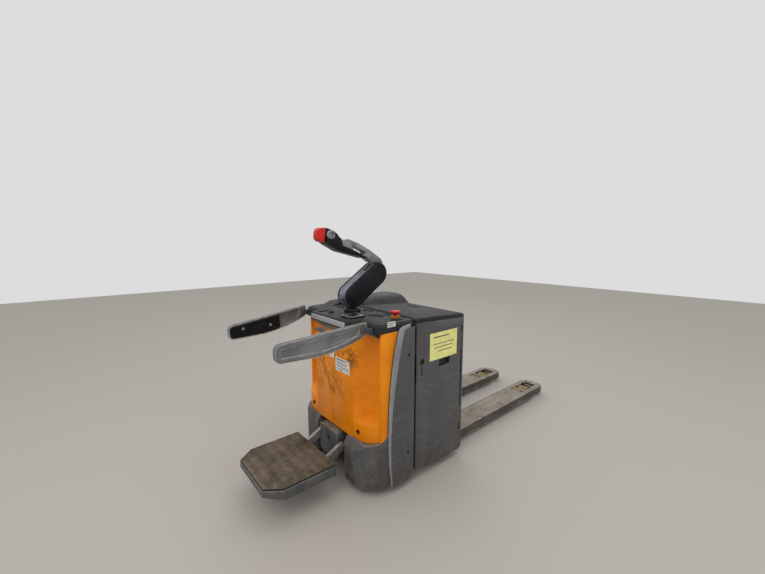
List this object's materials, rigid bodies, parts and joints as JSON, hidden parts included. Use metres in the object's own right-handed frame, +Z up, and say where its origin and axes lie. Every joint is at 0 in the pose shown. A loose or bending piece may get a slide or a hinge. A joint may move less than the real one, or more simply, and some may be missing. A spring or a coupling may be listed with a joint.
{
  "type": "electric stand-on pallet truck",
  "caption": "Electric pallet truck with fold-up operator platform, fold-down guard arms, two-link tiller, battery box and two lifting forks.",
  "frame": {"origin": "floor point under the middle of the bounding box", "axes": "+Y from the operator to the fork tips, +X to the operator's right when facing the forks, +Z up"},
  "size_m": [0.72, 2.385, 1.3501],
  "materials": {
    "frame_dark": "dark grey paint, worn",
    "body_grey": "mid grey paint with fine scratches and dirt",
    "skirt_grey": "grey paint, scuffed and dusty",
    "trim_grey": "light grey satin",
    "hood_orange": "orange gloss paint with dark scuffs",
    "deck_black": "black grained plastic, dusty",
    "bright_strip": "brushed",
    "display_black": "glossy",
    "bolt_black": "black oxide",
    "bracket_grey": "dark paint",
    "switch_yellow": "yellow plastic",
    "signal_red": "red plastic",
    "tray_grey": "grey paint, worn edges",
    "mat_rubber": "ribbed, covered with dust",
    "bare_steel": "worn bare steel",
    "arm_grey": "grey paint, bright worn edges",
    "pad_black": "soft black pad",
    "drive_iron": "cast, oily",
    "drive_rubber": "dark polyurethane",
    "castor_steel": "zinc plated",
    "castor_tyre": "polyurethane",
    "tiller_black": "black bluish satin plastic",
    "link_grey": "glossy grey plastic",
    "handle_grey": "grey plastic",
    "key_blue": "blue key",
    "battery_case": "battery case",
    "fork_paint": "dusty worn paint, bare edges",
    "load_steel": "greasy steel",
    "roller_tan": "tan polyurethane",
    "ram_chrome": "hard chrome"
  },
  "bodies": {
    "chassis": {"chassis_frame": "frame_dark", "castor_carriers": "frame_dark", "side_plate_right": "body_grey", "side_plate_left": "body_grey", "pillar_trims": "trim_grey", "skirt_right": "skirt_grey", "skirt_left": "skirt_grey", "hinge_block": "skirt_grey", "motor_hood": "hood_orange", "deck_cover": "deck_black", "deck_strip": "bright_strip", "display_panel": "display_black", "panel_bolts": "bolt_black", "arm_brackets": "bracket_grey", "estop_base": "switch_yellow", "pump_unit": "bracket_grey", "motor_controller": "bracket_grey", "lift_cylinder": "bracket_grey"},
    "stop_switch": {"estop_button": "signal_red"},
    "platform": {"platform_tray": "tray_grey", "platform_mat": "mat_rubber", "platform_hinge": "bare_steel"},
    "guard_right": {"arm_right": "arm_grey", "arm_pad_right": "pad_black"},
    "guard_left": {"arm_left": "arm_grey", "arm_pad_left": "pad_black"},
    "steering": {"drive_gearbox": "drive_iron", "drive_motor": "drive_iron", "steering_column": "bare_steel", "tiller_turret": "tiller_black"},
    "drive_wheel": {"drive_hub": "drive_iron", "drive_tyre": "drive_rubber"},
    "castor_right": {"castor_fork_right": "castor_steel"},
    "castor_left": {"castor_fork_left": "castor_steel"},
    "castor_right_roll": {"castor_wheel_right": "castor_tyre"},
    "castor_left_roll": {"castor_wheel_left": "castor_tyre"},
    "lower_link": {"tiller_link": "link_grey", "link_covers": "tiller_black"},
    "handle": {"handle_frame": "handle_grey", "grip_body": "tiller_black"},
    "belly_switch": {"belly_button": "signal_red"},
    "thumb_control": {"thumb_wheel": "handle_grey"},
    "lift_key": {"lift_button": "switch_yellow"},
    "horn_key": {"horn_button": "key_blue"},
    "carriage": {"battery_box": "body_grey", "battery": "battery_case", "fork_right": "fork_paint", "fork_left": "fork_paint", "piston_rod": "ram_chrome"},
    "lid": {"battery_lid": "deck_black"},
    "door": {"battery_door": "body_grey"},
    "lock": {"door_lock": "bolt_black"},
    "load_arm_pair": {"load_arms": "load_steel"},
    "bogie_pair": {"bogies": "load_steel"},
    "push_rod_pair": {"push_rods": "bare_steel"},
    "roller_rf": {"roller_right_front": "roller_tan"},
    "roller_rr": {"roller_right_rear": "roller_tan"},
    "roller_lf": {"roller_left_front": "roller_tan"},
    "roller_lr": {"roller_left_rear": "roller_tan"}
  },
  "joints": [
    {"name": "estop_press", "type": "slide", "parent": "chassis", "child": "stop_switch", "axis": [0, 0, -1], "range_m": [0, 0.007], "stiffness_N_per_m": 500},
    {"name": "platform_fold", "type": "hinge", "parent": "chassis", "child": "platform", "pos_m": [0, -0.7425, 0.2], "axis": [-1, 0, 0], "range_deg": [0, 88]},
    {"name": "guard_right_fold", "type": "hinge", "parent": "chassis", "child": "guard_right", "pos_m": [0.295, -0.7445, 0.872], "axis": [1, 0, 0], "range_deg": [0, 90]},
    {"name": "guard_left_fold", "type": "hinge", "parent": "chassis", "child": "guard_left", "pos_m": [-0.295, -0.7445, 0.872], "axis": [1, 0, 0], "range_deg": [-4.5, 85.5]},
    {"name": "steer", "type": "hinge", "parent": "chassis", "child": "steering", "pos_m": [0, -0.5905, 0], "axis": [0, 0, 1], "range_deg": [-90, 90]},
    {"name": "drive_spin", "type": "hinge", "parent": "steering", "child": "drive_wheel", "pos_m": [0, -0.5905, 0.112], "axis": [1, 0, 0], "continuous": true},
    {"name": "castor_right_swivel", "type": "hinge", "parent": "chassis", "child": "castor_right", "pos_m": [0.252, -0.5685, 0.1], "axis": [0, 0, 1], "continuous": true},
    {"name": "castor_right_spin", "type": "hinge", "parent": "castor_right", "child": "castor_right_roll", "pos_m": [0.252, -0.5415, 0.062], "axis": [1, 0, 0], "continuous": true},
    {"name": "castor_left_swivel", "type": "hinge", "parent": "chassis", "child": "castor_left", "pos_m": [-0.252, -0.5685, 0.1], "axis": [0, 0, 1], "continuous": true},
    {"name": "castor_left_spin", "type": "hinge", "parent": "castor_left", "child": "castor_left_roll", "pos_m": [-0.252, -0.5415, 0.062], "axis": [1, 0, 0], "continuous": true},
    {"name": "tiller_tilt", "type": "hinge", "parent": "steering", "child": "lower_link", "pos_m": [0, -0.5985, 0.985], "axis": [1, 0, 0], "range_deg": [0, 45]},
    {"name": "handle_tilt", "type": "hinge", "parent": "lower_link", "child": "handle", "pos_m": [0, -0.43427, 1.09914], "axis": [1, 0, 0], "range_deg": [-15, 20]},
    {"name": "belly_press", "type": "slide", "parent": "handle", "child": "belly_switch", "axis": [0, 0.945, -0.327], "range_m": [0, 0.005], "stiffness_N_per_m": 600},
    {"name": "thumb_turn", "type": "hinge", "parent": "handle", "child": "thumb_control", "pos_m": [0, -0.75027, 1.31514], "axis": [1, 0, 0], "range_deg": [-25, 25], "stiffness_Nm_per_rad": 0.6},
    {"name": "lift_press", "type": "slide", "parent": "handle", "child": "lift_key", "axis": [0, -0.7071, -0.7071], "range_m": [0, 0.003], "stiffness_N_per_m": 300},
    {"name": "horn_press", "type": "slide", "parent": "handle", "child": "horn_key", "axis": [0, -0.7071, -0.7071], "range_m": [0, 0.003], "stiffness_N_per_m": 300},
    {"name": "carriage_lift", "type": "slide", "parent": "chassis", "child": "carriage", "axis": [0, 0, 1], "range_m": [0, 0.125]},
    {"name": "lid_open", "type": "hinge", "parent": "carriage", "child": "lid", "pos_m": [0, -0.0585, 0.848], "axis": [-1, 0, 0], "range_deg": [0, 22]},
    {"name": "door_open", "type": "hinge", "parent": "carriage", "child": "door", "pos_m": [0.355, -0.0765, 0.5], "axis": [0, 0, 1], "range_deg": [0, 100]},
    {"name": "lock_turn", "type": "hinge", "parent": "carriage", "child": "lock", "pos_m": [0.35, -0.4025, 0.655], "axis": [1, 0, 0], "range_deg": [0, 90]},
    {"name": "load_arm_swing", "type": "hinge", "parent": "carriage", "child": "load_arm_pair", "pos_m": [0, 0.77651, 0.046], "axis": [-1, 0, 0], "range_deg": [0, 47.8]},
    {"name": "bogie_level", "type": "hinge", "parent": "load_arm_pair", "child": "bogie_pair", "pos_m": [0, 0.9465, 0.044], "axis": [1, 0, 0], "range_deg": [0, 47.8]},
    {"name": "push_rod_travel", "type": "slide", "parent": "carriage", "child": "push_rod_pair", "axis": [0, 1, 0], "range_m": [0, 0.0138]},
    {"name": "roller_rf_spin", "type": "hinge", "parent": "bogie_pair", "child": "roller_rf", "pos_m": [0.198, 0.9995, 0.0425], "axis": [1, 0, 0], "continuous": true},
    {"name": "roller_rr_spin", "type": "hinge", "parent": "bogie_pair", "child": "roller_rr", "pos_m": [0.198, 0.8935, 0.0425], "axis": [1, 0, 0], "continuous": true},
    {"name": "roller_lf_spin", "type": "hinge", "parent": "bogie_pair", "child": "roller_lf", "pos_m": [-0.198, 0.9995, 0.0425], "axis": [1, 0, 0], "continuous": true},
    {"name": "roller_lr_spin", "type": "hinge", "parent": "bogie_pair", "child": "roller_lr", "pos_m": [-0.198, 0.8935, 0.0425], "axis": [1, 0, 0], "continuous": true}
  ],
  "couplings": [
    {"joint": "load_arm_swing", "follows": "carriage_lift", "rad_per_m": 6.655},
    {"joint": "bogie_level", "follows": "carriage_lift", "rad_per_m": 6.655},
    {"joint": "push_rod_travel", "follows": "carriage_lift", "ratio": 0.108}
  ]
}
